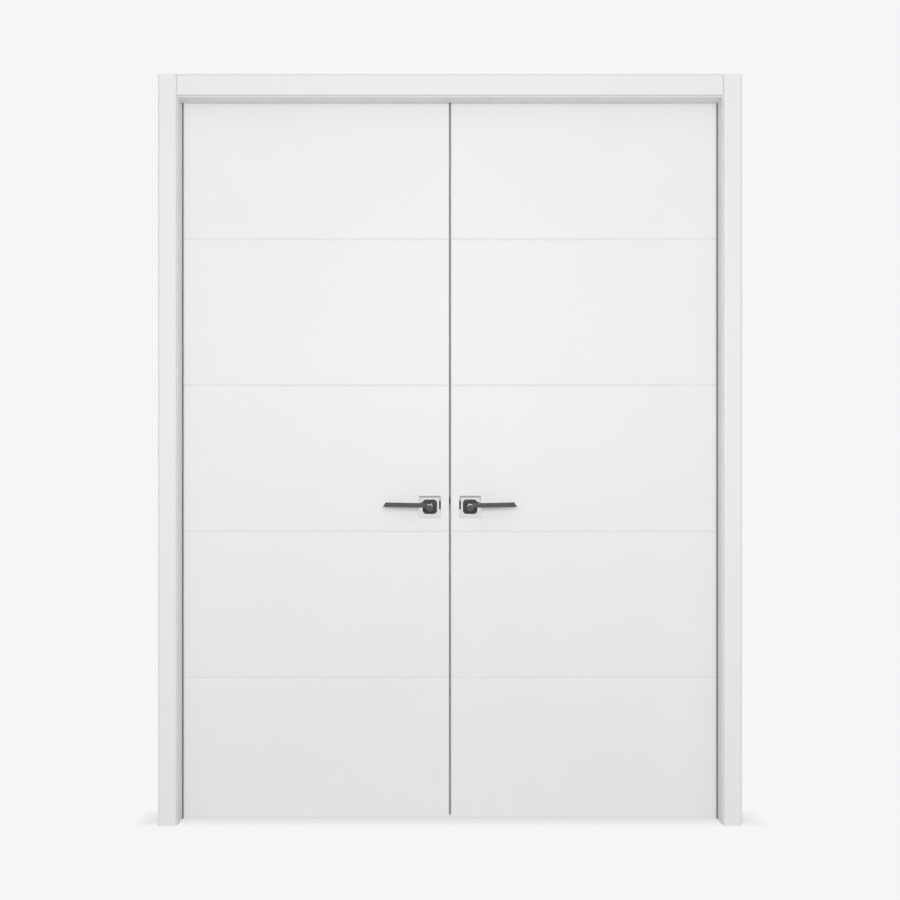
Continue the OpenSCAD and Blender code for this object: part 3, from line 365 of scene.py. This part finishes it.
coil_mesh.materials.append(steel)
coil_mesh.shade_smooth()
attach(coil, "right_leaf")
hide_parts("latch_spring")
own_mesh(coil)
print("coil of", SPRING_TURNS, "turns,", round(coil_length / MM, 1), "mm long")

# %% [markdown]
# ## Floor and background
#
# The floor is plain and pale. Seen directly or in a mirror it has the colour of the background,
# so that the door stands free. Close to the frame a share of it stays a lit surface, which keeps
# the soft shadow at the door's foot.
#
# The world has the same colour. Its light comes mostly from ahead and from behind and fades
# towards the sides and the top, so that the reveals of the jambs come out grey. A mirror sees the
# sides dimmed less, and the camera sees the plain colour everywhere.

# %% Floor and world
BACKGROUND = "#f7f5f6"
FLOOR_PAINT = "#d6d5d5"
FLOOR_HALF = 30.0
SHADOW_SHARE = 0.3
SHADOW_FROM = 0.03
SHADOW_TO = 0.095

floor_mesh = bpy.data.meshes.new("floor")
corners = [(-1, -1), (1, -1), (1, 1), (-1, 1)]
floor_mesh.from_pydata([(x * FLOOR_HALF, y * FLOOR_HALF, 0) for x, y in corners], [], [(0, 1, 2, 3)])
floor = bpy.data.objects.new("floor", floor_mesh)
bpy.context.scene.collection.objects.link(floor)

larger = {"operation": "MAXIMUM"}
less = {"operation": "SUBTRACT"}
times = {"operation": "MULTIPLY"}
unsigned = {"operation": "ABSOLUTE"}
floor_material, tree = new_tree("matt_pale_floor")
ray = add(tree, "ShaderNodeLightPath").outputs
seen = add(tree, "ShaderNodeMath", larger, _0=ray["Is Camera Ray"], _1=ray["Is Glossy Ray"])
seen = add(tree, "ShaderNodeMath", larger, _0=seen.outputs[0], _1=ray["Is Transmission Ray"])
place = add(tree, "ShaderNodeSeparateXYZ", _0=add(tree, "ShaderNodeTexCoord").outputs["Object"])
depth = add(tree, "ShaderNodeMath", unsigned, _0=place.outputs["Y"])
aside = add(tree, "ShaderNodeMath", unsigned, _0=place.outputs["X"])
beside = add(tree, "ShaderNodeMath", less, _0=aside.outputs[0], _1=cad_high.x - SHADOW_FROM)
reach = add(tree, "ShaderNodeMath", larger, _0=depth.outputs[0], _1=beside.outputs[0])
shadow = add(
    tree, "ShaderNodeMapRange", Value=reach.outputs[0], From_Min=SHADOW_FROM, From_Max=SHADOW_TO,
    To_Min=1 - SHADOW_SHARE, To_Max=1.0,
)
share = add(tree, "ShaderNodeMath", times, _0=seen.outputs[0], _1=shadow.outputs["Result"])
lit = add(tree, "ShaderNodeBsdfDiffuse", Color=linear(FLOOR_PAINT))
plain = add(tree, "ShaderNodeEmission", Color=linear(BACKGROUND), Strength=1.0)
mixed = add(tree, "ShaderNodeMixShader", _0=share.outputs[0], _1=lit.outputs[0], _2=plain.outputs[0])
add(tree, "ShaderNodeOutputMaterial", Surface=mixed.outputs[0])
floor_mesh.materials.append(floor_material)

AMBIENT = 0.89
AMBIENT_SIDES = 0.09
MIRRORED_SIDES = 0.4
SIDES_UP_TO = 0.15
AHEAD_FROM = 0.7

world = bpy.data.worlds.new("studio")
bpy.context.scene.world = world
world.use_nodes = True
tree = world.node_tree
tree.nodes.clear()
ray = add(tree, "ShaderNodeLightPath").outputs
way = add(tree, "ShaderNodeSeparateXYZ", _0=add(tree, "ShaderNodeTexCoord").outputs["Generated"])
ahead = add(tree, "ShaderNodeMath", unsigned, _0=way.outputs["Y"])
ambient = add(
    tree, "ShaderNodeMapRange", Value=ahead.outputs[0], From_Min=SIDES_UP_TO, From_Max=AHEAD_FROM,
    To_Min=AMBIENT_SIDES, To_Max=AMBIENT,
)
mirrored = add(
    tree, "ShaderNodeMapRange", Value=ahead.outputs[0], From_Min=SIDES_UP_TO, From_Max=AHEAD_FROM,
    To_Min=MIRRORED_SIDES, To_Max=1.0,
)
level = add(
    tree, "ShaderNodeMix", {"data_type": "FLOAT"},
    _0=ray["Is Glossy Ray"], _2=ambient.outputs["Result"], _3=mirrored.outputs["Result"],
)
seen = add(tree, "ShaderNodeMath", larger, _0=ray["Is Camera Ray"], _1=ray["Is Transmission Ray"])
level = add(
    tree, "ShaderNodeMix", {"data_type": "FLOAT"},
    _0=seen.outputs[0], _2=level.outputs[0], _3=1.0,
)
sky = add(tree, "ShaderNodeBackground", Color=linear(BACKGROUND), Strength=level.outputs[0])
add(tree, "ShaderNodeOutputWorld", Surface=sky.outputs[0])
print("floor", 2 * FLOOR_HALF, "m wide, ambient", AMBIENT)

# %% [markdown]
# ## Studio light
#
# One softbox hangs in front of the door above its middle, so the upper middle of the leaves is
# brightest and the light falls off towards the floor and the hinge sides. A second one behind
# lights the far side for views from there.

# %% Lights
def softbox(name, place, target, width, height, watts):
    lamp = bpy.data.lights.new(name, "AREA")
    lamp.shape = "RECTANGLE"
    lamp.size = width
    lamp.size_y = height
    lamp.energy = watts
    box = bpy.data.objects.new(name, lamp)
    bpy.context.scene.collection.objects.link(box)
    box.location = place
    box.rotation_euler = (Vector(target) - Vector(place)).to_track_quat("-Z", "Y").to_euler()
    box.visible_camera = False
    return box


softbox("front_softbox", (0, -5.0, 1.75), target=(0, 0, 1.3), width=2.2, height=1.2, watts=91)
softbox("back_softbox", (0.8, 4.6, 2.2), target=(0, 0, 1.2), width=2.4, height=1.4, watts=90)
print("two softboxes")

# %% [markdown]
# ## Camera
#
# The photograph looks square at the door, level with the middle of its height, so that all
# verticals stay upright. The depth of the jambs shows as a narrow band round the leaves, as wide
# as it looks from about 4.4 m. A lens of about 63 mm then fills the frame in the same way.

# %% Camera
SENSOR_MM = 36.0
CAMERA_DISTANCE = 4.4
MM_PER_PIXEL = 2.78
IMAGE_PIXELS = 900

casing_low, casing_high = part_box("head_front_casing")
view_width = MM_PER_PIXEL * IMAGE_PIXELS * MM
camera_data = bpy.data.cameras.new("camera")
camera_data.sensor_width = SENSOR_MM
camera_data.lens = SENSOR_MM * CAMERA_DISTANCE / view_width
camera = bpy.data.objects.new("camera", camera_data)
bpy.context.scene.collection.objects.link(camera)
camera.location = (0, casing_low.y - CAMERA_DISTANCE, casing_high.z / 2)
camera.rotation_euler = (math.radians(90), 0, 0)
camera_data.clip_end = 200
bpy.context.scene.camera = camera
bpy.context.scene.view_settings.view_transform = "Standard"
print("lens", round(camera_data.lens, 1), "mm")
